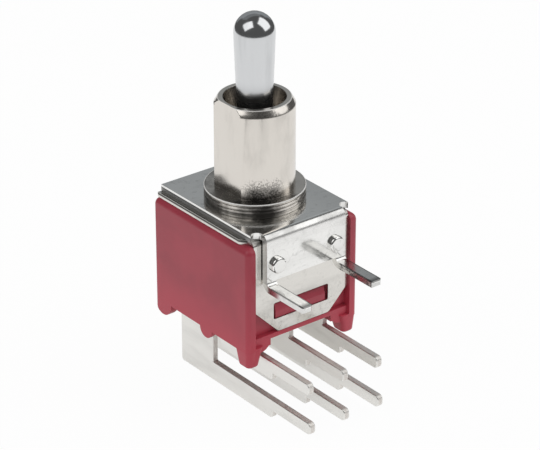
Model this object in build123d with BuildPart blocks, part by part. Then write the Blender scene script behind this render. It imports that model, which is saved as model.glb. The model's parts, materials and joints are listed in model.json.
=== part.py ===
"""Right-angle, double-pole toggle switch with a centre-off lever, for a printed circuit board.

Millimetres. The origin is on the bushing's axis at the flange face that a panel seats on.
+Z runs up the lever, +X is the way the lever tilts, and -Y faces the circuit board.
"""

import os
from math import cos, radians, sin, sqrt, tan

from build123d import *

# ---- driving dimensions -------------------------------------------------------------------
PITCH = 2.54                    # circuit board grid
FIT = 0.02                      # gap between pieces that seat in one another
RUN = 0.03                      # running clearance of the ball, fulcrums and slides

# bushing
BUSHING_R = 2.375
BUSHING_LENGTH = 5.55           # from the flange face to the rim
BUSHING_CHAMFER = 0.235         # radial
BUSHING_CHAMFER_H = 0.38
BUSHING_FLAT_DEPTH = 0.38
MOUTH_R = 1.85
FLANGE_R = 3.0
FLANGE_H = 0.7
FLANGE_GROOVE = 0.09
FLANGE_GROOVES = 2
SPIGOT_R = 2.3
STAKE_R = 2.6
STAKE_H = 0.3

# lever
LEVER_TIP_R = 1.216
LEVER_NECK_R = 0.985
LEVER_TOP = 10.73
PIVOT_Z = 2.4
BALL_R = 1.5
THROAT_R = 1.32
SHANK_TOP_R = 0.7
SHANK_END_R = 0.42
HEEL_R = 0.6
HEEL_Z = -2.75
TILT = 12.5                     # degrees each side of the centre-off position
PIVOT_PIN_R = 0.35
PIVOT_PIN_LENGTH = 3.8

# mounting bracket
BRACKET_T = 0.4
BRACKET_W = 7.16
BRACKET_BACK = 4.4
BRACKET_FACE = 4.83             # front plate's outer face, ahead of the axis
BRACKET_BEND_R = 0.45
BRACKET_PLATE_DROP = 2.96
TAB_RELIEF_R = 0.36
TAB_TIP = 4.26
BRACKET_PIN_W = 0.7
BRACKET_PIN_TIP = 8.18
BRACKET_PIN_BEND_R = 0.22
BUTTON_R = 0.5
BUTTON_X = 2.136
BUTTON_DROP = 1.99

# inner frame
FRAME_T = 0.3
FRAME_W = 7.73
FRAME_FRONT = 3.47
FRAME_BEND_R = 0.4
ARM_W = 6.94
ARM_FACE = 4.36
ARM_TO_CASE_EDGE = 0.73          # the arms end this far above the case's lower edge
ARM_CUT_LEFT = 1.79
ARM_CUT_RIGHT = 1.4
ARM_CORNER_R = 0.35
REAR_ARM_W = 6.5
WINDOW_W = 4.04
WINDOW_H = 1.06
WINDOW_TO_EDGE = 0.853
WINDOW_CORNER_R = 0.12

# case
CASE_W = 8.13
CASE_D = 9.14
CASE_H = 6.72
CASE_CORNER_R = 0.3
CASE_TOP_R = 0.42
SIDE_WALL = 0.62
END_WALL = 0.6
RAIL_DROP = 3.05
RAIL_W = 0.35
FLOOR_T = 0.92
PARTITION_T = 0.7
PARTITION_H = 2.1
LEDGE_H = 0.7
LEDGE_ARCH = 0.42
LUG_GAP = 0.18
LUG_RISE = 0.25
SEAL_T = 0.32
SEAL_MARGIN = 0.17
FOOT_H = 1.08
FOOT_DRAFT = 0.1                # how far the tip stands in from the case's outside
FOOT_TIP_W = 0.82
FOOT_TIP_D = 1.04
FOOT_TIP_R = 0.18
FOOT_ROOT_W = 1.2
FOOT_ROOT_D = 1.4
FOOT_STEP = 0.19                # height above the case's lower edge where the stud's front ends
BOSS_W = 1.82
BOSS_D = 1.0
BOSS_H = 0.28
BACK_FOOT_W = 0.72
BACK_FOOT_R = 0.8
BACK_FOOT_H = 0.86
MIDDLE_FOOT_W = 0.54
MIDDLE_FOOT_R = 0.58
ROUND_FOOT_EDGE_R = 0.3
MIDDLE_FOOT_Y = -0.5

# terminals
TERMINAL_T = 0.4
PIN_H = 0.75
LEG_H = 1.24
SEAT_Y = -5.1                   # circuit board face that shoulders and buttons rest on
NECK_W = 1.6
REAR_POLE_Y = 2.2
FRONT_POLE_Y = -1.77
REAR_BLADE_W = 3.16
FRONT_BLADE_W = 3.34
REAR_TIP_Y = -8.66
FRONT_TIP_Y = -8.5
PIN_ROUND = 0.28
BLADE_ROUND = 0.2

# switching mechanism
ACTUATOR_W = 4.0
ACTUATOR_H = 2.55
ACTUATOR_TO_STAKE = 0.15
ACTUATOR_WALL = 0.45
HEEL_SLOT_D = 1.5
PLUNGER_R = 0.5
PLUNGER_BODY = 1.7
SPRING_NOSE_R = 0.24
SPRING_NOSE_H = 0.4
SPRING_R = 0.4
SPRING_WIRE = 0.12
SPRING_TURNS = 4
SPRING_STEPS = 10               # straight steps in each turn of the coil
ROCKER_T = 0.3
ROCKER_W = 1.2
ROCKER_REACH = 2.78
ROCKER_RISE = 6.0               # degrees that each arm of the rocker rises
ROCKER_TILT = 8.0               # degrees of rocking at either end of the lever's travel
ROCKER_WEB = 0.05
PLUNGER_GAP = 0.04
FULCRUM_Z = -6.0
CONTACT_GAP = 0.03

# ---- values worked out from them ----------------------------------------------------------
BRACKET_TOP = -FLANGE_H
FRAME_TOP = BRACKET_TOP - BRACKET_T
CASE_TOP = FRAME_TOP - FRAME_T
CASE_BOTTOM = CASE_TOP - CASE_H
FLOOR_TOP = CASE_BOTTOM + FLOOR_T
ARM_BOTTOM = CASE_BOTTOM + ARM_TO_CASE_EDGE
WINDOW_BOTTOM = ARM_BOTTOM + WINDOW_TO_EDGE
RECESS_FACE = ARM_FACE - FRAME_T - FIT
CAVITY_X = CASE_W / 2 - SIDE_WALL
CAVITY_Y = RECESS_FACE - END_WALL
RAIL_Z = CASE_TOP - RAIL_DROP
PARTITION_Y = (REAR_POLE_Y + FRONT_POLE_Y) / 2
BRACKET_PIN_Z = BRACKET_TOP - BRACKET_PLATE_DROP - BRACKET_PIN_BEND_R - BRACKET_T / 2
FRONT_ROW_Z = BRACKET_PIN_Z - 2 * PITCH
REAR_ROW_Z = FRONT_ROW_Z - PITCH
COLUMNS = {"left": -PITCH, "common": 0.0, "right": PITCH}
THROW = (PIVOT_Z - HEEL_Z) * radians(TILT)
ACTUATOR_TOP = CASE_TOP - STAKE_H - ACTUATOR_TO_STAKE
ACTUATOR_BOTTOM = ACTUATOR_TOP - ACTUATOR_H
ROCKER_TOP = FULCRUM_Z + ROCKER_WEB + ROCKER_T
PLUNGER_CENTRE_Z = ROCKER_TOP + (PLUNGER_R + PLUNGER_GAP) / cos(radians(ROCKER_RISE))
END_CONTACT_Z = (FULCRUM_Z + ROCKER_WEB + PITCH * tan(radians(ROCKER_RISE))
                 - PITCH * tan(radians(ROCKER_TILT)) - CONTACT_GAP)

os.makedirs("parts", exist_ok=True)


def save(piece, label):
    """Label a finished piece and write it as its own STEP file."""
    piece.part.label = label
    export_step(piece.part, f"parts/{label}.step")


# ---- bushing ------------------------------------------------------------------------------
def bushing_section():
    """Half section of the turned bushing: its outside, its bore and the lever's ball seat."""
    stake_bottom = CASE_TOP - STAKE_H
    seat_r = BALL_R + RUN
    throat_z = PIVOT_Z + sqrt(seat_r ** 2 - THROAT_R ** 2)
    middle_z = PIVOT_Z + sqrt(seat_r ** 2 - ((seat_r + THROAT_R) / 2) ** 2)
    groove_pitch = FLANGE_H / (FLANGE_GROOVES + 1)
    outside = [(MOUTH_R, BUSHING_LENGTH), (BUSHING_R - BUSHING_CHAMFER, BUSHING_LENGTH),
               (BUSHING_R, BUSHING_LENGTH - BUSHING_CHAMFER_H), (BUSHING_R, 0), (FLANGE_R, 0)]
    for number in range(1, FLANGE_GROOVES + 1):
        middle = -number * groove_pitch
        outside += [(FLANGE_R, middle + FLANGE_GROOVE), (FLANGE_R - FLANGE_GROOVE, middle),
                    (FLANGE_R, middle - FLANGE_GROOVE)]
    outside += [(FLANGE_R, BRACKET_TOP), (SPIGOT_R, BRACKET_TOP), (SPIGOT_R, CASE_TOP),
                (STAKE_R, CASE_TOP), (STAKE_R, stake_bottom + STAKE_H / 3),
                (STAKE_R - STAKE_H, stake_bottom), (seat_r, stake_bottom), (seat_r, PIVOT_Z)]
    with BuildSketch(Plane.XZ) as section:
        with BuildLine():
            Polyline(*outside)
            ThreePointArc((seat_r, PIVOT_Z), ((seat_r + THROAT_R) / 2, middle_z), (THROAT_R, throat_z))
            Line((THROAT_R, throat_z), (MOUTH_R, BUSHING_LENGTH))
        make_face()
    return section.sketch


with BuildPart() as bushing:
    add(bushing_section())
    revolve(axis=Axis.Z)
    # the keying flat along one side of the barrel
    with BuildSketch(Plane.XY):
        with Locations((-BUSHING_R, 0)):
            Rectangle(2 * BUSHING_FLAT_DEPTH, 2 * BUSHING_R)
    extrude(amount=BUSHING_LENGTH, mode=Mode.SUBTRACT)
    # slots that the ends of the pivot pin slide up and turn in
    with BuildSketch(Plane.XZ):
        with BuildLine():
            slot_r = PIVOT_PIN_R + RUN
            Polyline((-slot_r, PIVOT_Z), (-slot_r, CASE_TOP - STAKE_H),
                     (slot_r, CASE_TOP - STAKE_H), (slot_r, PIVOT_Z))
            RadiusArc((slot_r, PIVOT_Z), (-slot_r, PIVOT_Z), -slot_r)
        make_face()
    extrude(amount=PIVOT_PIN_LENGTH / 2 + RUN, both=True, mode=Mode.SUBTRACT)
save(bushing, "bushing")


# ---- lever and its pivot pin --------------------------------------------------------------
with BuildPart() as lever:
    dome_z = LEVER_TOP - LEVER_TIP_R
    neck_z = PIVOT_Z + sqrt(BALL_R ** 2 - LEVER_NECK_R ** 2)
    shank_z = PIVOT_Z - sqrt(BALL_R ** 2 - SHANK_TOP_R ** 2)
    heel_top = HEEL_Z + sqrt(HEEL_R ** 2 - SHANK_END_R ** 2)
    with BuildSketch(Plane.XZ):
        with BuildLine():
            RadiusArc((0, LEVER_TOP), (LEVER_TIP_R, dome_z), LEVER_TIP_R)
            Line((LEVER_TIP_R, dome_z), (LEVER_NECK_R, neck_z))
            ThreePointArc((LEVER_NECK_R, neck_z), (BALL_R, PIVOT_Z), (SHANK_TOP_R, shank_z))
            Line((SHANK_TOP_R, shank_z), (SHANK_END_R, heel_top))
            ThreePointArc((SHANK_END_R, heel_top), (HEEL_R, HEEL_Z), (0, HEEL_Z - HEEL_R))
            Line((0, HEEL_Z - HEEL_R), (0, LEVER_TOP))
        make_face()
    revolve(axis=Axis.Z)
    with BuildSketch(Plane.XZ):
        with Locations((0, PIVOT_Z)):
            Circle(PIVOT_PIN_R + FIT)
    extrude(amount=BALL_R, both=True, mode=Mode.SUBTRACT)
save(lever, "lever")

with BuildPart() as pivot_pin:
    with BuildSketch(Plane.XZ):
        with Locations((0, PIVOT_Z)):
            Circle(PIVOT_PIN_R)
    extrude(amount=PIVOT_PIN_LENGTH / 2, both=True)
    chamfer(pivot_pin.edges().filter_by(GeomType.CIRCLE), PIVOT_PIN_R / 4)
save(pivot_pin, "pivot_pin")


# ---- mounting bracket ---------------------------------------------------------------------
def bent_strip(width, start, face, drop, thickness, bend_r, top):
    """Sheet that runs forward from y = -start, bends down and ends below its top face by drop."""
    front = -face
    with BuildPart() as strip:
        with BuildSketch(Plane.YZ):
            with BuildLine():
                Polyline((-start, top - thickness), (-start, top), (front + bend_r, top))
                RadiusArc((front + bend_r, top), (front, top - bend_r), -bend_r)
                Polyline((front, top - bend_r), (front, top - drop),
                         (front + thickness, top - drop), (front + thickness, top - bend_r))
                RadiusArc((front + thickness, top - bend_r),
                          (front + bend_r, top - thickness), bend_r - thickness)
                Line((front + bend_r, top - thickness), (-start, top - thickness))
            make_face()
        extrude(amount=width / 2, both=True)
    return strip.part


with BuildPart() as mounting_bracket:
    plate_front = BRACKET_FACE - BRACKET_BEND_R
    plate_w = 2 * PITCH + BRACKET_PIN_W
    # top plate, with a corner tab each side of the bend
    with BuildSketch(Plane.XY.offset(BRACKET_TOP)):
        with Locations((0, (BRACKET_BACK - TAB_TIP) / 2)):
            Rectangle(BRACKET_W, BRACKET_BACK + TAB_TIP)
        with Locations((-plate_w / 2 - TAB_RELIEF_R, -TAB_TIP - TAB_RELIEF_R / 4),
                       (plate_w / 2 + TAB_RELIEF_R, -TAB_TIP - TAB_RELIEF_R / 4)):
            Circle(TAB_RELIEF_R, mode=Mode.SUBTRACT)
    extrude(amount=-BRACKET_T)
    # front plate, folded down from it
    add(bent_strip(plate_w, TAB_TIP - TAB_RELIEF_R, BRACKET_FACE, BRACKET_PLATE_DROP,
                   BRACKET_T, BRACKET_BEND_R, BRACKET_TOP))
    # two flat pins, bent forward again from the plate's lower corners
    with BuildSketch(Plane.YZ):
        with BuildLine():
            inner = BRACKET_PIN_BEND_R
            outer = BRACKET_PIN_BEND_R + BRACKET_T
            top = BRACKET_TOP - BRACKET_PLATE_DROP
            Line((-BRACKET_FACE, top), (-BRACKET_FACE + BRACKET_T, top))
            RadiusArc((-BRACKET_FACE + BRACKET_T, top), (-BRACKET_FACE - inner, top - outer), outer)
            Line((-BRACKET_FACE - inner, top - outer), (-BRACKET_PIN_TIP, top - outer))
            Line((-BRACKET_PIN_TIP, top - outer), (-BRACKET_PIN_TIP, top - inner))
            Line((-BRACKET_PIN_TIP, top - inner), (-BRACKET_FACE - inner, top - inner))
            RadiusArc((-BRACKET_FACE - inner, top - inner), (-BRACKET_FACE, top), -inner)
        make_face()
    extrude(amount=plate_w / 2, both=True)
    with BuildSketch(Plane.XY.offset(BRACKET_TOP - BRACKET_PLATE_DROP)):
        with Locations((0, -(BRACKET_FACE + BRACKET_PIN_TIP) / 2 + BRACKET_T / 2)):
            Rectangle(2 * PITCH - BRACKET_PIN_W, BRACKET_PIN_TIP - BRACKET_FACE + BRACKET_T)
    extrude(amount=-BRACKET_PIN_BEND_R - BRACKET_T, mode=Mode.SUBTRACT)
    # the arched corners beside the legs and the chamfered pin tips
    tips = mounting_bracket.faces().sort_by(Axis.Y)[:2]
    chamfer(tips.edges().filter_by(Axis.Z), BRACKET_PIN_W / 5)
    tips = mounting_bracket.faces().filter_by(Axis.Y).sort_by(Axis.Y)[:2]
    chamfer(tips.edges().filter_by(Axis.X), BRACKET_T / 4)
    # half-sheared buttons that stand on the circuit board
    with BuildSketch(Plane.XZ.offset(BRACKET_FACE)):
        with Locations((-BUTTON_X, BRACKET_TOP - BUTTON_DROP), (BUTTON_X, BRACKET_TOP - BUTTON_DROP)):
            Circle(BUTTON_R)
    extrude(amount=-SEAT_Y - BRACKET_FACE)
    with BuildSketch(Plane.XZ.offset(BRACKET_FACE - BRACKET_T)):
        with Locations((-BUTTON_X, BRACKET_TOP - BUTTON_DROP), (BUTTON_X, BRACKET_TOP - BUTTON_DROP)):
            Circle(BUTTON_R * 0.8)
    extrude(amount=-SEAT_Y - BRACKET_FACE, mode=Mode.SUBTRACT)
    with BuildSketch(Plane.XY.offset(BRACKET_TOP)):
        Circle(SPIGOT_R + FIT)
    extrude(amount=-BRACKET_T, mode=Mode.SUBTRACT)
save(mounting_bracket, "mounting_bracket")


# ---- inner frame --------------------------------------------------------------------------
def arm_cuts(width, left_cut, right_cut):
    """Outline of what is taken off an arm: two corners at its end, and the latch window."""
    half = width / 2
    turn = ARM_CORNER_R * tan(radians(22.5))
    slope = turn * cos(radians(45))
    with BuildSketch(Plane.XZ) as cuts:
        for side, cut in ((-1, left_cut), (1, right_cut)):
            corner = half - cut
            with BuildLine():
                Polyline((side * (corner - turn), ARM_BOTTOM), (side * half, ARM_BOTTOM),
                         (side * half, ARM_BOTTOM + cut), (side * (corner + slope), ARM_BOTTOM + slope))
                RadiusArc((side * (corner + slope), ARM_BOTTOM + slope),
                          (side * (corner - turn), ARM_BOTTOM), side * ARM_CORNER_R)
            make_face()
        with Locations((0, WINDOW_BOTTOM + WINDOW_H / 2)):
            RectangleRounded(WINDOW_W, WINDOW_H, WINDOW_CORNER_R)
    return cuts.sketch


with BuildPart() as frame:
    arm_start = ARM_FACE - FRAME_BEND_R
    corner_x = (FRAME_W - ARM_W) / 2
    corner_y = arm_start - FRAME_FRONT
    # top plate: cut corners in front, square tabs behind
    with BuildSketch(Plane.XY.offset(FRAME_TOP)):
        with BuildLine():
            Polyline((-FRAME_W / 2, ARM_FACE), (-FRAME_W / 2, -FRAME_FRONT), (-ARM_W / 2, -arm_start),
                     (ARM_W / 2, -arm_start), (FRAME_W / 2, -FRAME_FRONT), (FRAME_W / 2, ARM_FACE),
                     close=True)
        make_face()
        with Locations((0, arm_start + FRAME_BEND_R / 2)):
            Rectangle(ARM_W, FRAME_BEND_R, mode=Mode.SUBTRACT)
    extrude(amount=-FRAME_T)
    drop = FRAME_TOP - ARM_BOTTOM
    add(bent_strip(ARM_W, FRAME_FRONT, ARM_FACE, drop, FRAME_T, FRAME_BEND_R, FRAME_TOP))
    rear_arm = bent_strip(REAR_ARM_W, FRAME_FRONT, ARM_FACE, drop, FRAME_T, FRAME_BEND_R, FRAME_TOP)
    add(mirror(rear_arm, about=Plane.XZ, mode=Mode.PRIVATE))
    extrude(arm_cuts(ARM_W, ARM_CUT_LEFT, ARM_CUT_RIGHT), amount=CASE_D, mode=Mode.SUBTRACT)
    extrude(arm_cuts(REAR_ARM_W, ARM_CUT_RIGHT, ARM_CUT_RIGHT), amount=-CASE_D, mode=Mode.SUBTRACT)
    with BuildSketch(Plane.XY.offset(FRAME_TOP)):
        Circle(SPIGOT_R + FIT)
    extrude(amount=-FRAME_T, mode=Mode.SUBTRACT)
save(frame, "frame")


# ---- case ---------------------------------------------------------------------------------
def front_foot():
    """The foot at the front, +X corner: a rounded stud beside a boss that is flush with the ledge."""
    edge, face = CASE_W / 2, CASE_D / 2
    tip, waist, root = CASE_BOTTOM - FOOT_H, CASE_BOTTOM - BOSS_H, CASE_BOTTOM + LEDGE_ARCH
    with BuildPart() as foot:
        with BuildSketch(Plane.XY.offset(tip)):
            with Locations((edge - FOOT_DRAFT - FOOT_TIP_W / 2, FOOT_DRAFT + FOOT_TIP_D / 2 - face)):
                RectangleRounded(FOOT_TIP_W, FOOT_TIP_D, CASE_CORNER_R)
        with BuildSketch(Plane.XY.offset(CASE_BOTTOM + FOOT_STEP)):
            with Locations((edge - FOOT_ROOT_W / 2, FOOT_ROOT_D / 2 - face)):
                RectangleRounded(FOOT_ROOT_W, FOOT_ROOT_D, CASE_CORNER_R)
        loft()
        fillet(foot.faces().sort_by(Axis.Z)[0].edges(), FOOT_TIP_R)
        with BuildSketch(Plane.XZ.offset(face - BOSS_D)):
            with BuildLine():
                turn = root - waist
                Polyline((edge - BOSS_W, root), (edge - CASE_CORNER_R, root),
                         (edge - CASE_CORNER_R, waist), (edge - BOSS_W + turn, waist))
                RadiusArc((edge - BOSS_W + turn, waist), (edge - BOSS_W, root), turn)
            make_face()
        extrude(amount=ARM_FACE - (face - BOSS_D))
    return foot.part


def round_foot(y, width, radius, height):
    """A half-round foot under the +X side wall, centred at y, inside the case's rounded corners."""
    edge, top = CASE_W / 2, CASE_BOTTOM + CASE_CORNER_R
    centre = CASE_BOTTOM - height + radius
    with BuildPart() as stud:
        with BuildSketch(Plane.YZ.offset(edge)):
            with BuildLine():
                Polyline((y - radius, centre), (y - radius, top), (y + radius, top), (y + radius, centre))
                ThreePointArc((y + radius, centre), (y, centre - radius), (y - radius, centre))
            make_face()
        extrude(amount=-width)
        inner = stud.faces().sort_by(Axis.X)[0]
        fillet(inner.edges().sort_by(Axis.Z)[:-1], ROUND_FOOT_EDGE_R)
        with BuildSketch(Plane.XY.offset(top)):
            RectangleRounded(CASE_W, CASE_D, CASE_CORNER_R)
        extrude(amount=-(top - CASE_BOTTOM + height), mode=Mode.INTERSECT)
    return stud.part


def blade_y(pole_y, blade_w):
    """The near and far Y of a terminal's wide blade."""
    return pole_y - blade_w / 2, pole_y + blade_w / 2


with BuildPart() as case:
    with BuildSketch(Plane.XY.offset(CASE_TOP)):
        Rectangle(CASE_W, CASE_D)
    extrude(amount=-CASE_H)
    fillet(case.edges().filter_by(Axis.Z), CASE_CORNER_R)
    fillet(case.faces().sort_by(Axis.Z)[-1].edges(), CASE_TOP_R)
    # pockets for the frame's arms in the front and the back, and the ledges under them
    pocket_w = ARM_W + 2 * FIT
    for side in (-1, 1):
        outer = CASE_D / 2
        with BuildSketch(Plane.XY.offset(CASE_TOP)):
            with Locations((0, side * (outer + RECESS_FACE) / 2)):
                Rectangle(pocket_w, outer - RECESS_FACE)
        extrude(amount=-(CASE_H - LEDGE_H), mode=Mode.SUBTRACT)
        with BuildSketch(Plane.XY.offset(CASE_TOP)):
            with Locations((0, side * (outer + ARM_FACE) / 2)):
                Rectangle(pocket_w, outer - ARM_FACE)
        extrude(amount=-CASE_H, mode=Mode.SUBTRACT)
    # room for the inside of the frame's bends
    rims = case.edges().filter_by(Axis.X).filter_by_position(Axis.Z, CASE_TOP - FIT, CASE_TOP + FIT)
    chamfer(rims.filter_by(lambda edge: abs(abs(edge.center().Y) - RECESS_FACE) < FIT),
            FRAME_BEND_R - FRAME_T + FIT)
    # arches between the feet, front and back
    for side in (-1, 1):
        with BuildSketch(Plane.XZ.offset(side * CAVITY_Y)):
            with Locations((0, CASE_BOTTOM)):
                Rectangle(CASE_W - 2 * BOSS_W, 2 * LEDGE_ARCH)
        extrude(amount=side * CASE_D, mode=Mode.SUBTRACT)
    # feet at the corners and partway along the side walls
    feet = [front_foot(),
            round_foot(CASE_D / 2 - BACK_FOOT_R, BACK_FOOT_W, BACK_FOOT_R, BACK_FOOT_H),
            round_foot(MIDDLE_FOOT_Y, MIDDLE_FOOT_W, MIDDLE_FOOT_R, MIDDLE_FOOT_R)]
    add(feet)
    add([mirror(stud, about=Plane.YZ, mode=Mode.PRIVATE) for stud in feet])
    # contact chamber, wider above the rails that the actuator slides on
    with BuildSketch(Plane.XY.offset(CASE_TOP)):
        Rectangle(2 * CAVITY_X, 2 * CAVITY_Y)
    extrude(amount=-RAIL_DROP, mode=Mode.SUBTRACT)
    with BuildSketch(Plane.XY.offset(RAIL_Z)):
        Rectangle(2 * CAVITY_X, 2 * (CAVITY_Y - RAIL_W))
    extrude(amount=FLOOR_TOP - RAIL_Z, mode=Mode.SUBTRACT)
    with BuildSketch(Plane.XY.offset(FLOOR_TOP)):
        with Locations((0, PARTITION_Y)):
            Rectangle(2 * CAVITY_X, PARTITION_T)
    extrude(amount=PARTITION_H)
    # shallow well for the terminal seal, and the terminals' slots
    with BuildSketch(Plane.XY.offset(CASE_BOTTOM)):
        Rectangle(2 * (CAVITY_X - SEAL_MARGIN), 2 * CAVITY_Y)
    extrude(amount=SEAL_T, mode=Mode.SUBTRACT)
    with BuildSketch(Plane.XY.offset(CASE_BOTTOM)):
        for pole_y in (REAR_POLE_Y, FRONT_POLE_Y):
            with Locations(*[(x, pole_y) for x in COLUMNS.values()]):
                Rectangle(TERMINAL_T + 2 * FIT, NECK_W + 2 * FIT)
    extrude(amount=FLOOR_T, mode=Mode.SUBTRACT)
    # latch lugs in the frame's windows: a ramp above, a square catch below
    for side in (-1, 1):
        with BuildSketch(Plane.YZ):
            with BuildLine():
                low = WINDOW_BOTTOM + FIT
                high = WINDOW_BOTTOM + WINDOW_H - LUG_GAP
                Polyline((side * (RECESS_FACE - END_WALL / 2), low), (side * (RECESS_FACE + LUG_RISE), low),
                         (side * (RECESS_FACE + LUG_RISE), (low + high) / 2),
                         (side * (RECESS_FACE + LUG_RISE / 2), high),
                         (side * (RECESS_FACE - END_WALL / 2), high), close=True)
            make_face()
        extrude(amount=WINDOW_W / 2 - LUG_GAP, both=True)
save(case, "case")

with BuildPart() as terminal_seal:
    with BuildSketch(Plane.XY.offset(CASE_BOTTOM)):
        Rectangle(2 * (CAVITY_X - SEAL_MARGIN), 2 * CAVITY_Y)
        for pole_y in (REAR_POLE_Y, FRONT_POLE_Y):
            with Locations(*[(x, pole_y) for x in COLUMNS.values()]):
                Rectangle(TERMINAL_T + 2 * FIT, NECK_W + 2 * FIT, mode=Mode.SUBTRACT)
    extrude(amount=SEAL_T)
save(terminal_seal, "terminal_seal")


# ---- terminals ----------------------------------------------------------------------------
def terminal(x, pole_y, blade_w, row_z, tip_y, contact_z):
    """One L-shaped stamped terminal in the plane at x."""
    near, far = blade_y(pole_y, blade_w)
    leg_top = row_z + PIN_H / 2
    leg_bottom = leg_top - LEG_H
    pin_bottom = leg_top - PIN_H
    blade_top = CASE_BOTTOM - FIT
    half_neck = NECK_W / 2
    with BuildPart() as piece:
        with BuildSketch(Plane.YZ.offset(x)):
            with BuildLine():
                Polyline((pole_y - half_neck, contact_z), (pole_y - half_neck, blade_top),
                         (near, blade_top), (near, leg_top), (tip_y, leg_top), (tip_y, pin_bottom),
                         (SEAT_Y, pin_bottom), (SEAT_Y, leg_bottom), (far, leg_bottom),
                         (far, blade_top), (pole_y + half_neck, blade_top),
                         (pole_y + half_neck, contact_z), close=True)
            make_face()
        extrude(amount=TERMINAL_T / 2, both=True)
        edges = piece.edges().filter_by(Axis.X)
        tip = edges.filter_by_position(Axis.Y, tip_y - FIT, tip_y + FIT)
        fillet(tip, PIN_ROUND)
        edges = piece.edges().filter_by(Axis.X)
        heel = edges.filter_by_position(Axis.Z, leg_bottom - FIT, leg_bottom + FIT)
        fillet(heel, BLADE_ROUND)
        # the contact edge is coined to a full round
        with BuildSketch(Plane.XZ.offset(-pole_y - half_neck)):
            with Locations((x, contact_z)):
                Circle(TERMINAL_T / 2)
        extrude(amount=NECK_W)
    return piece


for column, column_x in COLUMNS.items():
    top = FULCRUM_Z if column == "common" else END_CONTACT_Z - TERMINAL_T / 2
    save(terminal(column_x, REAR_POLE_Y, REAR_BLADE_W, REAR_ROW_Z, REAR_TIP_Y, top),
         f"rear_{column}_terminal")
    save(terminal(column_x, FRONT_POLE_Y, FRONT_BLADE_W, FRONT_ROW_Z, FRONT_TIP_Y, top),
         f"front_{column}_terminal")


# ---- switching mechanism ------------------------------------------------------------------
with BuildPart() as actuator:
    actuator_d = 2 * (CAVITY_Y - 2 * RUN)
    with BuildSketch(Plane.XY.offset(ACTUATOR_TOP)):
        Rectangle(ACTUATOR_W, actuator_d)
    extrude(amount=-ACTUATOR_H)
    fillet(actuator.edges().filter_by(Axis.Z), 2 * ACTUATOR_WALL / 3)
    # slot that the lever's heel drives, flared for the tilting shank
    heel_half = HEEL_R + RUN + FIT
    with BuildSketch(Plane.XY.offset(ACTUATOR_TOP)):
        Rectangle(2 * heel_half, HEEL_SLOT_D)
    extrude(amount=-(ACTUATOR_TOP - HEEL_Z + HEEL_R + ACTUATOR_WALL / 3), mode=Mode.SUBTRACT)
    mouth = actuator.faces().sort_by(Axis.Z)[-1].inner_wires()[0].edges().filter_by(Axis.Y)
    chamfer(mouth, ACTUATOR_WALL / 2)
    # blind bores for the springs and plungers
    with BuildSketch(Plane.XY.offset(ACTUATOR_BOTTOM)):
        with Locations((0, REAR_POLE_Y), (0, FRONT_POLE_Y)):
            Circle(PLUNGER_R + RUN)
    extrude(amount=ACTUATOR_H - ACTUATOR_WALL, mode=Mode.SUBTRACT)
save(actuator, "actuator")


def plunger(pole_y):
    """Round-nosed plunger that presses on a rocker."""
    top = PLUNGER_CENTRE_Z + PLUNGER_BODY
    with BuildPart() as piece:
        with BuildSketch(Plane.XZ.offset(-pole_y)):
            with BuildLine():
                Polyline((0, PLUNGER_CENTRE_Z - PLUNGER_R), (0, top + SPRING_NOSE_H),
                         (SPRING_NOSE_R, top + SPRING_NOSE_H), (SPRING_NOSE_R, top),
                         (PLUNGER_R, top), (PLUNGER_R, PLUNGER_CENTRE_Z))
                RadiusArc((PLUNGER_R, PLUNGER_CENTRE_Z), (0, PLUNGER_CENTRE_Z - PLUNGER_R), PLUNGER_R)
            make_face()
        revolve(axis=Axis((0, pole_y, 0), (0, 0, 1)))
    return piece


def plunger_spring(pole_y):
    """Compression spring between a plunger and the end of its bore, coiled in straight steps."""
    low = PLUNGER_CENTRE_Z + PLUNGER_BODY + SPRING_WIRE / 2
    high = ACTUATOR_TOP - ACTUATOR_WALL - SPRING_WIRE / 2
    coil_r = SPRING_R - SPRING_WIRE / 2
    steps = SPRING_TURNS * SPRING_STEPS
    turn = 360 / SPRING_STEPS
    path = [(coil_r * cos(radians(turn * step)), pole_y + coil_r * sin(radians(turn * step)),
             low + (high - low) * step / steps) for step in range(steps + 1)]
    with BuildPart() as piece:
        with BuildLine() as coil:
            Polyline(*path)
        with BuildSketch(Plane(origin=path[0], z_dir=coil.line % 0)):
            Rectangle(SPRING_WIRE, SPRING_WIRE)
        sweep(transition=Transition.RIGHT)
    return piece


def rocker(pole_y):
    """See-saw contact: a shallow trough that rocks on the common terminal's rounded edge."""
    rise = ROCKER_REACH * tan(radians(ROCKER_RISE))
    groove_r = TERMINAL_T / 2 + RUN
    web = FULCRUM_Z + ROCKER_WEB
    edge = sqrt(groove_r ** 2 - ROCKER_WEB ** 2)
    with BuildPart() as piece:
        with BuildSketch(Plane.XZ.offset(-pole_y - ROCKER_W / 2)):
            with BuildLine():
                Polyline((edge, web), (ROCKER_REACH, web + rise), (ROCKER_REACH, ROCKER_TOP + rise),
                         (0, ROCKER_TOP), (-ROCKER_REACH, ROCKER_TOP + rise), (-ROCKER_REACH, web + rise),
                         (-edge, web))
                ThreePointArc((-edge, web), (0, FULCRUM_Z + groove_r), (edge, web))
            make_face()
        extrude(amount=ROCKER_W)
    return piece


for pole, pole_y in {"rear": REAR_POLE_Y, "front": FRONT_POLE_Y}.items():
    save(plunger(pole_y), f"{pole}_plunger")
    save(plunger_spring(pole_y), f"{pole}_spring")
    save(rocker(pole_y), f"{pole}_rocker")
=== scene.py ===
"""Looks for a miniature right-angle toggle switch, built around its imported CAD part.

Metres. The part stands as it rests: +Z runs up the lever, -Y is the way its pins point.
"""

import json
import math

import bmesh
import bpy
from mathutils import Matrix, Quaternion, Vector


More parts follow.
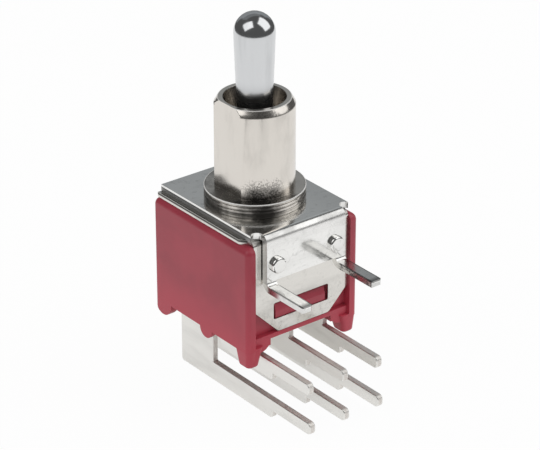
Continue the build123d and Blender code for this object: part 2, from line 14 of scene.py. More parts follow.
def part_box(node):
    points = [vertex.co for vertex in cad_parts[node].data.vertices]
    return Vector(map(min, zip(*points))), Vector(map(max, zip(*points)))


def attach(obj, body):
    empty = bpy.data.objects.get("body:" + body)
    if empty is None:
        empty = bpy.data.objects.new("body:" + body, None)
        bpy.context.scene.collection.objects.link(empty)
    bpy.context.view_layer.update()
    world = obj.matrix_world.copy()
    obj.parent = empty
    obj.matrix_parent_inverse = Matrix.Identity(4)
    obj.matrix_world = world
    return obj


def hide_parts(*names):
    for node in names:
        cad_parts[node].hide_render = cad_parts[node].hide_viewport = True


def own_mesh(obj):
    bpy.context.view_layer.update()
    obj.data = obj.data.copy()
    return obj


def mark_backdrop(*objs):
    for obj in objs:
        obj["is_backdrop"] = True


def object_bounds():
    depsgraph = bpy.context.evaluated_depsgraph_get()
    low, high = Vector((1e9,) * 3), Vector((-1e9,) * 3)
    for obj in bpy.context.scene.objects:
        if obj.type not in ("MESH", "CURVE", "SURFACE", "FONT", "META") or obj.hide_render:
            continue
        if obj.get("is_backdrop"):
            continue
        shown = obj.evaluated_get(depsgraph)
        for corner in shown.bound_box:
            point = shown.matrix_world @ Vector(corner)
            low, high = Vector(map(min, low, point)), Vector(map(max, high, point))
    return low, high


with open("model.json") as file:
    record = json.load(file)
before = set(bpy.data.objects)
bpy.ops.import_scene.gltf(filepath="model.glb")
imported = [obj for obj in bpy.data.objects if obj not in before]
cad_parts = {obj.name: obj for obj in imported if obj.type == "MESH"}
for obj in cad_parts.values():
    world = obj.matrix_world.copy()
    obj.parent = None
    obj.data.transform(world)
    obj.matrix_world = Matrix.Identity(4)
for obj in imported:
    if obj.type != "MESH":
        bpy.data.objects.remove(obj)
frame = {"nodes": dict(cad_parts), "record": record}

bl_info = {
    "name": "Toggle Switch Looks",
    "version": (1, 0, 0),
    "blender": (4, 5, 0),
    "location": "View3D > Sidebar > Toggle Switch",
    "description": "Dresses a miniature toggle switch in its plated metal and moulded plastic",
    "category": "Object",
}

MM = 0.001
MERGE = 2e-7                    # triangles of a CAD node share corners closer than this
FLAT_ANGLE = math.radians(0.4)  # neighbouring triangles flatter than this are one face
CREASE = math.radians(28)       # an edge bent more than this is a real edge

# sizes of the switch that its finishes follow
PITCH = 2.54 * MM               # the board's grid, on which every pin stands
TERMINAL_HALF = 0.2 * MM        # half the thickness of a terminal
PIN_HALF = 0.35 * MM            # half the width of a bracket pin
PLATE_Y = -4.83 * MM            # front face of the bracket's front plate
PLATE_HALF = 2.88 * MM          # half the width of that plate
BUTTON_Z = -3.3 * MM            # its buttons are above this, and its pins below
ARM_Y = -4.36 * MM              # front face of the frame's front arm
MOUTH_R = 1.85 * MM             # the bushing's bore at its mouth
BARREL_R = 2.375 * MM           # the bushing above its flange
FLANGE_R = 3.0 * MM             # the bushing's flange
CHAMFER_Z = 5.17 * MM           # foot of the chamfer round the bushing's rim
RIM_Z = 5.55 * MM               # the bushing's rim
DARK_REFLECTION_SIDE = (-0.42, -0.91)     # the way from the bushing's axis to the painted dark reflection on its barrel
LIT_SIDE = (0.79, -0.62)      # the way from the bushing's axis to the side lit by the right softbox, with less painted shade

# how finishes mix
DIRT_AND_SHADE_SHARE = 0.12                    # share of a metal's colour that shows under soiling and under painted shade
STAINED = 0.45                  # share of it that shows in a stain
RUBBED_METAL = (0.96, 0.95, 0.93)

# the stage
TABLE_GREY = (0.86, 0.86, 0.86, 1.0)
TABLE_SEEN = 0.96               # share of the table that the camera sees as plain white
TABLE_MIRRORED = 0.7            # share of it that metal mirrors as plain white
WHITE = (1.0, 1.0, 1.0, 1.0)
LAMP_DISTANCE = 0.35            # from the switch's origin to each lamp
COOL = (0.89, 0.955, 1.0)       # tint of the cards behind the switch
CAMERA_AZIMUTH = math.radians(-38.06)
CAMERA_ELEVATION = math.radians(26.83)
CAMERA_DISTANCE = 152.76 * MM
CAMERA_RIGHT = 0.878 * MM       # how far the camera is moved off its line of sight
CAMERA_UP = -1.84 * MM
SIGHT_Z = -0.7 * MM             # height that the camera's line of sight starts from

# how far each sliding joint goes
TRAVEL = {joint["name"]: joint["range_m"][1]
          for joint in frame["record"]["behaviour"]["joints"] if "range_m" in joint}
ROWS = ("rear", "front")
TERMINALS = [f"{row}_{column}_terminal"
             for row in ROWS for column in ("left", "common", "right")]


# ---- shader maths ---------------------------------------------------------------------------
class Value:
    """A number that flows through a node tree, written in ordinary arithmetic."""

    def __init__(self, finish, socket):
        self.finish = finish
        self.socket = socket

    def _with(self, operation, *others):
        return self.finish.node("ShaderNodeMath", {"operation": operation}, [self, *others])

    def __add__(self, other):
        return self._with("ADD", other)

    __radd__ = __add__

    def __sub__(self, other):
        return self._with("SUBTRACT", other)

    def __rsub__(self, other):
        return self.finish.node("ShaderNodeMath", {"operation": "SUBTRACT"}, [other, self])

    def __mul__(self, other):
        return self._with("MULTIPLY", other)

    __rmul__ = __mul__

    def __pow__(self, other):
        return self._with("POWER", other)

    def __abs__(self):
        return self._with("ABSOLUTE")

    def clamped(self):
        """This value, kept between 0 and 1."""
        return self.finish.node("ShaderNodeClamp", {}, {"Value": self})

    def ramp(self, low, high):
        """0 below low, 1 above high, and smooth between them."""
        return self.finish.node("ShaderNodeMapRange", {"interpolation_type": "SMOOTHSTEP"},
                                {"Value": self, "From Min": low, "From Max": high})

    def fade(self, low, high):
        """1 below low, 0 above high, and smooth between them."""
        return 1.0 - self.ramp(low, high)

    def between(self, low, high, soft):
        """1 from low to high - soft, and 0 below low - soft and above high."""
        return self.ramp(low - soft, low) * self.fade(high - soft, high)


class Finish:
    """One material, or the world, with a method that adds any node to it."""

    def __init__(self, name, tree_owner=None):
        self.material = tree_owner or bpy.data.materials.new(name)
        self.material.use_nodes = True
        self.tree = self.material.node_tree
        self.tree.nodes.clear()

    def node(self, kind, settings=None, inputs=None, output=0):
        """Adds a node, sets it up, feeds its sockets, and returns one of its outputs."""
        made = self.tree.nodes.new(kind)
        for key, setting in (settings or {}).items():
            setattr(made, key, setting)
        pairs = inputs.items() if isinstance(inputs, dict) else enumerate(inputs or [])
        for key, fed in pairs:
            socket = made.inputs[key]
            if isinstance(fed, Value):
                self.tree.links.new(fed.socket, socket)
            else:
                socket.default_value = fed
        return Value(self, made.outputs[output]) if len(made.outputs) else None

    def place(self):
        """Object coordinates, in metres."""
        return self.node("ShaderNodeTexCoord", output="Object")

    def parts_of_place(self):
        """The three Object coordinates, one by one."""
        split = self.node("ShaderNodeSeparateXYZ", {}, [self.place()])
        return [Value(self, socket) for socket in split.socket.node.outputs]

    def from_axis(self):
        """Distance from the lever's upright axis."""
        place = self.parts_of_place()
        return (place[0] * place[0] + place[1] * place[1]) ** 0.5

    def stretched(self, scale):
        """Object coordinates, scaled along each axis."""
        return self.node("ShaderNodeMapping", {}, {"Vector": self.place(), "Scale": scale})

    def noise(self, scale, detail=3.0, rough=0.55, where=None, distortion=0.0):
        """Fractal noise from 0 to 1."""
        return self.node("ShaderNodeTexNoise", {}, {"Vector": where or self.place(),
                                                    "Scale": scale, "Detail": detail,
                                                    "Roughness": rough,
                                                    "Distortion": distortion})

    def blend(self, factor, first, second):
        """first where factor is 0 and second where it is 1, as colours."""
        return self.node("ShaderNodeMix", {"data_type": "RGBA"},
                         {0: factor, 6: self.opaque(first), 7: self.opaque(second)}, output=2)

    @staticmethod
    def opaque(colour):
        """A colour as a socket takes it, with its alpha."""
        return colour if isinstance(colour, Value) else (*colour[:3], 1.0)

    def bump(self, height, strength, distance):
        """A normal tilted by a height."""
        return self.node("ShaderNodeBump", {}, {"Height": height, "Strength": strength,
                                                "Distance": distance})

    def surface(self, **sockets):
        """The Principled surface that ends the material; names use _ for a space."""
        inputs = {key.replace("_", " "): fed for key, fed in sockets.items()}
        inputs["Base Color"] = self.opaque(inputs["Base Color"])
        shader = self.node("ShaderNodeBsdfPrincipled", {}, inputs)
        self.node("ShaderNodeOutputMaterial", {}, {"Surface": shader})
        return self.material


# ---- materials ------------------------------------------------------------------------------
def scaled(colour, share):
    """A colour, made darker or lighter."""
    return tuple(level * share for level in colour)


def red_moulding(settings, foot):
    """Satin thermoset with faint flow marks, and a painted sheen of the white table that makes it
    lighter towards its feet.
    """
    finish = Finish("red_moulding")
    flow = finish.noise(420.0, 2.0)
    grain = finish.noise(9000.0, 2.0)
    base = settings.case_colour
    paler = tuple(min(1.0, level * 1.16 + 0.006) for level in base)
    # painted sheen: the case turns lighter towards its feet, as if it mirrored the white table
    table_sheen_colour = (base[0] * 1.52, base[1] * 1.5, base[2] * 1.45)
    low = finish.parts_of_place()[2].fade(foot + 0.6 * MM, foot + 4.2 * MM)
    colour = finish.blend(flow.ramp(0.35, 0.7), base, paler)
    colour = finish.blend(low * 0.75, colour, table_sheen_colour)
    return finish.surface(Base_Color=colour, Roughness=0.36 + flow * 0.1,
                          IOR=1.54, Normal=finish.bump(grain, 0.12, 0.02 * MM))


def plated(name, colour, roughness, ripple, streak, blotch,
           dirt_and_shade=None, worn=None, stain=0.0, bare=RUBBED_METAL):
    """Bright plated metal: slightly uneven, with faint rolling streaks and clouded patches.

    streak scales the pattern along each axis, ripple is its height, and blotch is how much its
    patches differ. dirt_and_shade(finish) gives how dark each place is, from soiling and painted
    shade, and worn(finish) how matt, both from 0 to 1. Worn places turn to the bare colour. stain
    is the strength of small dark stains.
    """
    finish = Finish(name)
    along = finish.stretched(streak)
    clouds = finish.noise(650.0, 4.0, 0.6, along)
    streaks = finish.noise(1900.0, 3.0, 0.6, along)
    tint = finish.blend(clouds.ramp(0.45, 0.75), colour, scaled(colour, 1.0 - 3.2 * blotch))
    rough = roughness + (clouds + streaks) * blotch
    metallic = 1.0
    if stain:
        mottle = finish.noise(2300.0, 5.0, 0.7, distortion=0.4).ramp(0.52, 0.68)
        tint = finish.blend(mottle * stain, tint, scaled(colour, STAINED))
    # darkening from soiling and from painted shade
    if dirt_and_shade:
        dark = dirt_and_shade(finish)
        tint = finish.blend(dark, tint, scaled(colour, DIRT_AND_SHADE_SHARE))
        rough = rough + dark * 0.25
    if worn:
        rubbed = worn(finish)
        tint = finish.blend(rubbed, tint, bare)
        rough = rough + rubbed * 0.45
        metallic = 1.0 - rubbed * 0.7
    height = clouds * 0.6 + streaks * 0.4
    return finish.surface(Base_Color=tint, Metallic=metallic, Roughness=rough,
                          Normal=finish.bump(height, ripple, 0.03 * MM))


def bushing_painted_shade(finish):
    """Painted shade and reflections in the bushing's mouth, around its flange and barrel foot, and
    on its chamfer.
    """
    x, y, z = finish.parts_of_place()
    radius = finish.from_axis()
    grain = finish.noise(9000.0, 3.0, 0.7).ramp(0.38, 0.62)
    # the side that faces the right softbox, which gets less painted shade
    lit_side = (x * LIT_SIDE[0] + y * LIT_SIDE[1]).ramp(0.6 * MM, 2.4 * MM) * 0.8
    # the side towards the camera, where the plate's dark reflection is painted
    ahead = x * DARK_REFLECTION_SIDE[0] + y * DARK_REFLECTION_SIDE[1]

    # painted shade inside the bore
    mouth = radius.fade(MOUTH_R - 0.01 * MM, MOUTH_R + 0.07 * MM) * z.ramp(1.5 * MM, 2.0 * MM)

    # painted shade at the barrel's foot and on the flange's rim
    flange = radius.ramp(FLANGE_R - 0.14 * MM, FLANGE_R - 0.06 * MM)
    front = ahead.ramp(FLANGE_R - 0.28 * MM, FLANGE_R - 0.04 * MM) * 0.24
    foot = z.fade(-0.6 * MM, -0.25 * MM) * (1.0 - lit_side) * 0.18
    smear = finish.noise(900.0, 5.0, 0.7).ramp(0.38, 0.62) * 0.75 + 0.25
    low = z.fade(0.1 * MM, 0.85 * MM)
    low = low * (flange * (0.2 + front + foot) + smear * (1.0 - lit_side) * 0.5)

    # painted reflection of the dark plate on the barrel's foot, on the side towards the camera
    board_side = ahead.ramp(BARREL_R - 0.525 * MM, BARREL_R - 0.075 * MM)
    shore = z + (grain - 0.5) * (0.7 * MM) - board_side * (0.55 * MM)
    dark_reflection = shore.fade(0.3 * MM, 0.55 * MM) * board_side * (1.0 - flange)
    dark_reflection = dark_reflection * (0.4 + grain * 0.5)

    # painted reflection: dark patches on the front of the chamfer
    chamfer = z.between(CHAMFER_Z + 0.03 * MM, RIM_Z - 0.02 * MM, 0.04 * MM)
    chamfer = chamfer * ahead.ramp(BARREL_R - 0.335 * MM, BARREL_R - 0.175 * MM)
    chamfer = chamfer * (0.3 + grain * 0.55)
    # painted shade in the crease at the chamfer's foot
    crease = z.between(CHAMFER_Z - 0.03 * MM, CHAMFER_Z + 0.04 * MM, 0.04 * MM)
    crease = crease * radius.ramp(BARREL_R - 0.075 * MM, BARREL_R - 0.045 * MM) * 0.55

    outside = low + dark_reflection + chamfer + crease
    painted_shade = mouth * 0.2 + (1.0 - mouth) * outside
    return (painted_shade * (1.0 - bushing_arrises(finish))).clamped()


def bushing_arrises(finish):
    """The rubbed upper edges of the bushing's flange and of its rim."""
    z = finish.parts_of_place()[2]
    radius = finish.from_axis()
    flange = radius.ramp(FLANGE_R - 0.055 * MM, FLANGE_R - 0.035 * MM)
    flange = flange * z.ramp(-0.07 * MM, -0.05 * MM)
    rim = radius.ramp(BARREL_R - 0.275 * MM, BARREL_R - 0.255 * MM)
    rim = rim * z.ramp(RIM_Z - 0.05 * MM, RIM_Z - 0.03 * MM) * 0.6
    return flange + rim


def lever_painted_shade(finish):
    """Painted shade on the lever from just above the bushing's rim down, where it goes into the
    dark bore.
    """
    z = finish.parts_of_place()[2]
    return z.fade(RIM_Z - 0.85 * MM, RIM_Z + 1.35 * MM) * 0.72


def sheared_flank(finish):
    """The cut edges of the terminals, between their rolled faces."""
    across = abs(finish.parts_of_place()[0])
    inside = TERMINAL_HALF - 0.12 * MM, TERMINAL_HALF - 0.02 * MM
    cut = across.fade(*inside) + abs(across - PITCH).fade(*inside)
    speckle = finish.noise(3800.0, 4.0, 0.7).ramp(0.4, 0.6)
    return cut * (0.24 + speckle * 0.2)


def pin_wear_and_shade(finish, top, tip):
    """Dulled tin on the bracket's pins, with painted shade along their tops' cut edges and where
    their tips round over, and darker patches on the right pin's flanks.
    """
    x, y, z = finish.parts_of_place()
    across = abs(abs(x) - PITCH)
    smear = finish.noise(1400.0, 4.0, 0.65).ramp(0.35, 0.65)
    pins = y.fade(PLATE_Y - 0.47 * MM, PLATE_Y - 0.17 * MM) * z.fade(top, top + 0.2 * MM)
    upper = z.ramp(top - 0.08 * MM, top - 0.05 * MM)
    # painted shade along the cut edges of the pins' tops
    edge = across.ramp(PIN_HALF - 0.09 * MM, PIN_HALF - 0.05 * MM) * upper * 0.6
    # painted shade where the pins' tips round over
    end = y.fade(tip + 0.12 * MM, tip + 0.6 * MM) * upper * 0.6
    flank = across.ramp(PIN_HALF - 0.03 * MM, PIN_HALF - 0.01 * MM) * x.ramp(0.0, MM)
    flank = flank * finish.noise(3400.0, 5.0, 0.75).ramp(0.45, 0.58) * 0.65
    return (pins * (0.13 + smear * 0.07 + edge + end + flank)).clamped()


def sheared_edge(finish, from_centre, low, high):
    """The torn part of a sheet's cut edge, along its long sides and between two heights."""
    soft = 0.03 * MM
    x, _, z = finish.parts_of_place()
    return abs(x).ramp(from_centre - soft, from_centre) * z.between(low, high, soft)


def dark_epoxy():
    """Poured sealing resin, with a soft sag between the terminals."""
    finish = Finish("dark_epoxy")
    waves = finish.noise(500.0, 2.0)
    colour = finish.blend(waves, (0.16, 0.04, 0.035), (0.22, 0.06, 0.05))
    return finish.surface(Base_Color=colour, Roughness=0.3 + waves * 0.1, IOR=1.5,
                          Normal=finish.bump(waves, 0.3, 0.1 * MM))


def plain(name, colour, roughness, metallic=0.0):
    """An even finish for a piece that is hidden inside."""
    return Finish(name).surface(Base_Color=colour, Roughness=roughness, Metallic=metallic)


# ---- making pieces --------------------------------------------------------------------------
def merged(node):
    """A CAD node's own shape as a bmesh, with its loose triangles joined."""
    bm = bmesh.new()
    bm.from_mesh(frame["nodes"][node].data)
    bmesh.ops.remove_doubles(bm, verts=bm.verts, dist=MERGE)
    return bm


def finished_object(bm, name, material, body):
    """Turns a bmesh into an object that rides on a body."""
    mesh = bpy.data.meshes.new(name)
    bm.to_mesh(mesh)
    bm.free()
    mesh.polygons.foreach_set("use_smooth", [True] * len(mesh.polygons))
    mesh.set_sharp_from_angle(angle=CREASE)
    mesh.materials.append(material)
    piece = bpy.data.objects.new(name, mesh)
    bpy.context.scene.collection.objects.link(piece)
    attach(piece, body)
    return piece


def edged(node, name, material, body, edge, segments=2, rounded=None, radius=0.0):
    """A node's own shape with its sharp edges broken, shown in the node's place.

    rounded(middle of an edge) picks the sharp edges that get a larger radius first.
    """
    bm = merged(node)
    bmesh.ops.dissolve_limit(bm, angle_limit=FLAT_ANGLE, verts=bm.verts, edges=bm.edges,
                             use_dissolve_boundaries=False)
    if rounded:
        chosen = [side for side in bm.edges if side.calc_face_angle(0.0) > CREASE
                  and rounded((side.verts[0].co + side.verts[1].co) / 2)]
        bmesh.ops.bevel(bm, geom=chosen, offset=radius, offset_type="OFFSET", affect="EDGES",
                        segments=4, profile=0.5, material=-1, clamp_overlap=True)
    piece = finished_object(bm, name, material, body)
    bevel = piece.modifiers.new("broken_edges", "BEVEL")
    bevel.width = edge
    bevel.segments = segments
    bevel.limit_method = "ANGLE"
    bevel.angle_limit = CREASE
    bevel.harden_normals = True
    bevel.miter_outer = "MITER_ARC"
    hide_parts(node)
    return piece


# ---- settings -------------------------------------------------------------------------------
class SwitchFinishSettings(bpy.types.PropertyGroup):
    """Colours and edge sizes of the switch's pieces."""

    case_colour: bpy.props.FloatVectorProperty(
        name="Case", description="Colour of the moulded case", subtype="COLOR",
        size=3, min=0.0, max=1.0, default=(0.352, 0.031, 0.054))
    bracket_colour: bpy.props.FloatVectorProperty(
        name="Bracket", description="Tin plating of the mounting bracket", subtype="COLOR",
        size=3, min=0.0, max=1.0, default=(0.90, 0.895, 0.875))
    frame_colour: bpy.props.FloatVectorProperty(
        name="Frame", description="Tin plating of the inner frame", subtype="COLOR",
        size=3, min=0.0, max=1.0, default=(0.76, 0.74, 0.70))
    terminal_colour: bpy.props.FloatVectorProperty(
        name="Terminals", description="Tin plating of the terminals", subtype="COLOR",
        size=3, min=0.0, max=1.0, default=(0.87, 0.86, 0.825))
    # the cut edges are dull metal, and their brown tint is a painted reflection of the red case
    cut_edge_and_reflection_colour: bpy.props.FloatVectorProperty(
        name="Cut edges", description="Dull metal of the terminals' cut edges", subtype="COLOR",
        size=3, min=0.0, max=1.0, default=(0.66, 0.58, 0.53))
    bushing_colour: bpy.props.FloatVectorProperty(
        name="Bushing", description="Nickel plating of the bushing", subtype="COLOR",
        size=3, min=0.0, max=1.0, default=(0.755, 0.716, 0.664))
    lever_colour: bpy.props.FloatVectorProperty(
        name="Lever", description="Chrome plating of the lever", subtype="COLOR",
        size=3, min=0.0, max=1.0, default=(0.68, 0.69, 0.70))
    sheet_edge: bpy.props.FloatProperty(
        name="Sheet edge", description="Width of the broken edges of the folded sheets",
        subtype="DISTANCE", unit="LENGTH", min=0.0, default=0.04 * MM)
    button_edge: bpy.props.FloatProperty(
        name="Button edge", description="Radius of the rims of the bracket's buttons",
        subtype="DISTANCE", unit="LENGTH", min=0.0, default=0.13 * MM)
    terminal_edge: bpy.props.FloatProperty(
        name="Terminal edge", description="Width of the broken edges of the terminals",
        subtype="DISTANCE", unit="LENGTH", min=0.0, default=0.06 * MM)
    moulded_edge: bpy.props.FloatProperty(
        name="Moulded edge", description="Width of the rounded edges of the case",
        subtype="DISTANCE", unit="LENGTH", min=0.0, default=0.07 * MM)
    turned_edge: bpy.props.FloatProperty(
        name="Turned edge", description="Width of the broken edges of the bushing",
        subtype="DISTANCE", unit="LENGTH", min=0.0, default=0.045 * MM)


class SwitchStageSettings(bpy.types.PropertyGroup):
    """Sizes and levels of the table, the lamps and the camera."""

    table_radius: bpy.props.FloatProperty(
        name="Table radius", description="Radius of the white table", subtype="DISTANCE",
        unit="LENGTH", min=0.0, default=110 * MM)
    lamp_radiance: bpy.props.FloatProperty(
        name="Softbox level", description="Brightness of the face of each softbox",
        min=0.0, default=1.15)
    card_radiance: bpy.props.FloatProperty(
        name="Rear card level", description="Brightness of the grey card behind",
        min=0.0, default=0.215)
    room_level: bpy.props.FloatProperty(
        name="Room level", description="Brightness of the dark room that metal mirrors",
        min=0.0, max=1.0, default=0.1)
    fill_level: bpy.props.FloatProperty(
        name="Fill level", description="Even light that reaches matt surfaces from all around",
        min=0.0, max=1.0, default=0.5)
    lens: bpy.props.FloatProperty(
        name="Lens", description="Focal length of the camera", subtype="DISTANCE_CAMERA",
        min=1.0, default=174.2)


# ---- operators: the switch ------------------------------------------------------------------
class SWITCH_OT_case(bpy.types.Operator):
    """Dress the moulded case and its sealing resin"""

    bl_idname = "switch.case"
    bl_label = "Case"

    def execute(self, context):
        settings = context.scene.switch_finish
        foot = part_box("case")[0][2]
        edged("case", "moulded_case", red_moulding(settings, foot), "housing",
              settings.moulded_edge, 3)
        seal = frame["nodes"]["terminal_seal"].data
        seal.materials.clear()
        seal.materials.append(dark_epoxy())
        return {"FINISHED"}


class SWITCH_OT_sheets(bpy.types.Operator):
    """Dress the folded mounting bracket and the frame inside it"""

    bl_idname = "switch.sheets"
    bl_label = "Bracket and frame"

    def execute(self, context):
        settings = context.scene.switch_finish
        back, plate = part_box("mounting_bracket")
        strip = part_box("frame")[1]
        thickness = plate[2] - strip[2]
        pin_top = back[2] + thickness

        def bracket_dirt_and_shade(finish):
            x, y, z = finish.parts_of_place()
            torn = sheared_edge(finish, plate[0] - 0.02 * MM, strip[2],
                                plate[2] - 0.3 * thickness)
            side = sheared_edge(finish, PLATE_HALF, pin_top + 0.1 * MM, strip[2])
            side = side * y.fade(ARM_Y - 0.09 * MM, ARM_Y - 0.04 * MM)
            long_smear = finish.noise(700.0, 4.0, 0.7, finish.stretched((0.5, 1.0, 1.0)))
            bend = y.fade(ARM_Y - 0.24 * MM, ARM_Y - 0.09 * MM)
            bend = bend * z.ramp(plate[2] - 0.5 * MM, plate[2] - 0.3 * MM)
            bend = bend * (0.1 + long_smear.ramp(0.4, 0.62) * 0.3)
            # painted shade: the bracket darkens towards its right side
            right_side_shade = x.ramp(1.2 * MM, 3.0 * MM) * 0.09
            return torn * 0.95 + side * 0.3 + right_side_shade + bend + pin_wear_and_shade(finish, pin_top, back[1])

        def bend_wear(finish):
            z = finish.parts_of_place()[2]
            drawn = z.ramp(plate[2] - 1.1 * MM, plate[2] - 0.75 * MM)
            return drawn * z.fade(plate[2] - 0.3 * MM, plate[2] - 0.15 * MM) * 0.3

        def frame_dirt_and_shade(finish):
            y, z = finish.parts_of_place()[1:]
            torn = sheared_edge(finish, 0.92 * strip[0], strip[2] - 0.14 * MM,
                                strip[2] - 0.01 * MM)
            # painted shade on the frame's bend, under the cut-out in the bracket
            notch_shade = y.fade(ARM_Y + 0.66 * MM, ARM_Y + 0.86 * MM)
            notch_shade = notch_shade * z.ramp(-1.45 * MM, -1.15 * MM)
            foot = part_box("frame")[0][2]
            speckle = finish.noise(3000.0, 4.0, 0.75).ramp(0.5, 0.68)
            # darker and speckled towards the frame's foot
            darker_low = z.fade(foot + 0.8 * MM, foot + 2.6 * MM) * (0.07 + speckle * 0.25)
            return (torn * 0.95 + notch_shade * 0.6 + darker_low).clamped()

        rolled = (0.3, 1.0, 1.0)
        bracket = plated("bracket_tin", settings.bracket_colour, 0.08, 0.35, rolled, 0.05,
                         bracket_dirt_and_shade, bend_wear, stain=0.3)
        arm = plated("frame_tin", settings.frame_colour, 0.15, 0.3, rolled, 0.06,
                     frame_dirt_and_shade, stain=0.15)
        edged("mounting_bracket", "folded_bracket", bracket, "housing", settings.sheet_edge,
              rounded=lambda middle: middle.y < PLATE_Y - 0.12 * MM and middle.z > BUTTON_Z,
              radius=settings.button_edge)
        edged("frame", "folded_frame", arm, "housing", settings.sheet_edge)
        return {"FINISHED"}


class SWITCH_OT_bushing(bpy.types.Operator):
    """Dress the turned bushing"""

    bl_idname = "switch.bushing"
    bl_label = "Bushing"

    def execute(self, context):
        settings = context.scene.switch_finish
        nickel = plated("bushing_nickel", settings.bushing_colour, 0.13, 0.2, (1.0, 1.0, 0.4), 0.05,
                        bushing_painted_shade, bushing_arrises)
        edged("bushing", "turned_bushing", nickel, "housing", settings.turned_edge)
        return {"FINISHED"}


class SWITCH_OT_lever(bpy.types.Operator):
    """Dress the polished lever"""

    bl_idname = "switch.lever"
    bl_label = "Lever"

    def execute(self, context):
        settings = context.scene.switch_finish
        # the lever's darkening towards the bushing is painted shade
        chrome = plated("lever_chrome", settings.lever_colour, 0.1, 0.08, (1.3, 1.3, 0.16), 0.05,
                        lever_painted_shade)
        edged("lever", "turned_lever", chrome, "lever", settings.turned_edge)
        return {"FINISHED"}


class SWITCH_OT_terminals(bpy.types.Operator):
    """Dress the stamped terminals"""

    bl_idname = "switch.terminals"
    bl_label = "Terminals"

    def execute(self, context):
        settings = context.scene.switch_finish
        # cut edges turn dull, with a brown tint that is a painted reflection of the red case
        tin = plated("terminal_tin", settings.terminal_colour, 0.3, 0.25, (1.0, 0.2, 1.0), 0.05,
                     worn=sheared_flank, bare=settings.cut_edge_and_reflection_colour)
        for node in TERMINALS:
            edged(node, "tinned_" + node, tin, "housing", settings.terminal_edge)
        return {"FINISHED"}


class SWITCH_OT_mechanism(bpy.types.Operator):
    """Give the pieces inside the case their plain finishes"""

    bl_idname = "switch.mechanism"
    bl_label = "Mechanism"

    def execute(self, context):
        finishes = {
            "actuator": plain("acetal", (0.82, 0.8, 0.74), 0.45),
            "rear_plunger": plain("plunger_brass", (0.72, 0.52, 0.22), 0.3, 1.0),
            "rear_rocker": plain("contact_silver", (0.82, 0.8, 0.76), 0.25, 1.0),
            "rear_spring": plain("spring_wire", (0.5, 0.5, 0.51), 0.3, 1.0),
            "pivot_pin": plain("pin_steel", (0.5, 0.5, 0.51), 0.25, 1.0),
        }
        for node in [n for n in finishes if n.startswith("rear_")]:
            finishes[node.replace("rear_", "front_")] = finishes[node]
        for row in ROWS:
            self.coil(row, finishes.pop(row + "_spring"))
        for node, material in finishes.items():
            mesh = frame["nodes"][node].data
            mesh.materials.clear()
            mesh.materials.append(material)
        return {"FINISHED"}

    @staticmethod
    def coil(row, material):
        """The spring over a plunger, made into its own coil that rides on the actuator."""
        node = row + "_spring"
        piece = finished_object(merged(node), row + "_coil", material, "actuator")
        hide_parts(node)
        low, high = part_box(node)
        joint = row + "_plunger_slide"
        1.0 - TRAVEL[joint] / (high[2] - low[2])
        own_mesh(piece)


# ---- operators: the stage -------------------------------------------------------------------
def table_material():
    """White card: shown white, and still darkened a little where the switch shades it."""
    finish = Finish("white_table")
    straight = finish.node("ShaderNodeLightPath", output="Is Camera Ray")
    glossy = finish.node("ShaderNodeLightPath", output="Is Glossy Ray")
    through = finish.node("ShaderNodeLightPath", output="Is Transmission Ray")
    mirrored = (1.0 - straight) * (glossy + through).clamped()
    seen = straight * TABLE_SEEN + mirrored * TABLE_MIRRORED
    card = finish.node("ShaderNodeBsdfDiffuse", {}, {"Color": TABLE_GREY})
    white = finish.node("ShaderNodeEmission", {}, {"Color": WHITE, "Strength": 1.0})
    mixed = finish.node("ShaderNodeMixShader", {}, [seen, card, white])
    finish.node("ShaderNodeOutputMaterial", {}, {"Surface": mixed})
    return finish.material


def room(level, fill):
    """A dark room as metal mirrors it, an even fill for matt surfaces, and white behind it all."""
    world = bpy.data.worlds.new("room")
    bpy.context.scene.world = world
    finish = Finish("room", world)
    dark, even, white = (finish.node("ShaderNodeBackground", {},
                                     {"Color": WHITE, "Strength": strength})
                         for strength in (level, fill, 1.0))
    matt = finish.node("ShaderNodeLightPath", output="Is Diffuse Ray")
    straight = finish.node("ShaderNodeLightPath", output="Is Camera Ray")
    mixed = finish.node("ShaderNodeMixShader", {}, [matt, dark, even])
    mixed = finish.node("ShaderNodeMixShader", {}, [straight, mixed, white])
    finish.node("ShaderNodeOutputWorld", {}, {"Surface": mixed})


def direction(azimuth, elevation):
    """A unit vector; azimuth runs from -Y towards +X, and elevation up from level."""
    return Vector((math.sin(azimuth) * math.cos(elevation),
                   -math.cos(azimuth) * math.cos(elevation), math.sin(elevation)))


def lamp(name, azimuth, elevation, width, height, radiance, roll=0.0, colour=(1.0, 1.0, 1.0)):
    """A flat lamp aimed at the switch, in degrees round it, above it and about its own beam."""
    light = bpy.data.lights.new(name, "AREA")
    light.shape = "RECTANGLE"
    light.size = width
    light.size_y = height
    light.energy = radiance * math.pi * width * height
    light.color = colour
    way = direction(math.radians(azimuth), math.radians(elevation))
    made = bpy.data.objects.new(name, light)
    made.location = way * LAMP_DISTANCE
    made.rotation_euler = (way.to_track_quat("Z", "Y")
                           @ Quaternion((0.0, 0.0, 1.0), math.radians(roll))).to_euler()
    bpy.context.scene.collection.objects.link(made)
    return made


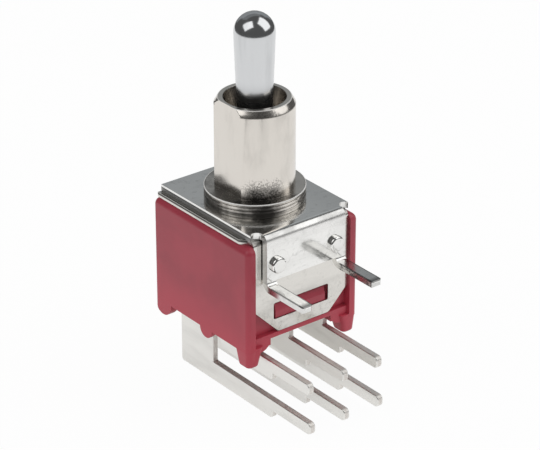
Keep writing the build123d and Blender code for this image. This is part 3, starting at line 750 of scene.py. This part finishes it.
class SWITCH_OT_stage(bpy.types.Operator):
    """Set the table, the lamps, the room and the camera"""

    bl_idname = "switch.stage"
    bl_label = "Stage"

    def execute(self, context):
        settings = context.scene.switch_stage
        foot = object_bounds()[0][2]
        bm = bmesh.new()
        bmesh.ops.create_circle(bm, cap_ends=True, segments=96, radius=settings.table_radius)
        bmesh.ops.translate(bm, verts=bm.verts, vec=(0.0, 0.0, foot))
        mesh = bpy.data.meshes.new("table")
        bm.to_mesh(mesh)
        bm.free()
        mesh.materials.append(table_material())
        table = bpy.data.objects.new("table", mesh)
        context.scene.collection.objects.link(table)
        level = settings.lamp_radiance
        card = settings.card_radiance
        lamps = [lamp("left_softbox", -91, 47, 0.326, 0.239, level, roll=53),
                 lamp("right_softbox", 49, 43, 0.32, 0.385, level, roll=-4),
                 lamp("rear_card", 145, 20, 0.5, 0.28, card, colour=COOL),
                 lamp("rear_card_top", 160, 50, 0.4, 0.2, 0.55 * card, colour=COOL)]
        room(settings.room_level, settings.fill_level)
        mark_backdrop(table, *lamps)
        self.place_camera(context, settings)
        return {"FINISHED"}

    @staticmethod
    def place_camera(context, settings):
        """Looks down on the front left corner of the switch."""
        back = direction(CAMERA_AZIMUTH, CAMERA_ELEVATION)
        right = Vector((math.cos(CAMERA_AZIMUTH), math.sin(CAMERA_AZIMUTH), 0.0))
        up = back.cross(right)
        place = (Vector((0.0, 0.0, SIGHT_Z)) + back * CAMERA_DISTANCE + right * CAMERA_RIGHT
                 + up * CAMERA_UP)
        lens = bpy.data.cameras.new("camera")
        lens.lens = settings.lens
        lens.sensor_width = 36.0
        lens.sensor_fit = "HORIZONTAL"
        lens.clip_start = 0.005
        camera = bpy.data.objects.new("camera", lens)
        camera.matrix_world = Matrix.LocRotScale(
            place, Matrix((right, up, back)).transposed().to_quaternion(), None)
        context.scene.collection.objects.link(camera)
        context.scene.camera = camera
        context.scene.view_settings.view_transform = "Standard"


# ---- panel and registration -----------------------------------------------------------------
STEPS = [SWITCH_OT_case, SWITCH_OT_sheets, SWITCH_OT_bushing, SWITCH_OT_lever,
         SWITCH_OT_terminals, SWITCH_OT_mechanism, SWITCH_OT_stage]


class SWITCH_PT_panel(bpy.types.Panel):
    """Lists the switch's settings and the steps that dress it"""

    bl_label = "Toggle Switch"
    bl_idname = "SWITCH_PT_panel"
    bl_space_type = "VIEW_3D"
    bl_region_type = "UI"
    bl_category = "Toggle Switch"

    def draw(self, context):
        for group in (context.scene.switch_finish, context.scene.switch_stage):
            for name in group.__annotations__:
                self.layout.prop(group, name)
        for step in STEPS:
            self.layout.operator(step.bl_idname)


CLASSES = [SwitchFinishSettings, SwitchStageSettings, *STEPS, SWITCH_PT_panel]


def register():
    for cls in CLASSES:
        bpy.utils.register_class(cls)
    bpy.types.Scene.switch_finish = bpy.props.PointerProperty(type=SwitchFinishSettings)
    bpy.types.Scene.switch_stage = bpy.props.PointerProperty(type=SwitchStageSettings)


def unregister():
    del bpy.types.Scene.switch_stage
    del bpy.types.Scene.switch_finish
    for cls in reversed(CLASSES):
        bpy.utils.unregister_class(cls)


def main():
    """Dresses the switch step by step."""
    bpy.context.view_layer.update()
    register()
    for step in STEPS:
        getattr(bpy.ops.switch, step.bl_idname.partition(".")[2])()


if __name__ == "__main__":
    main()
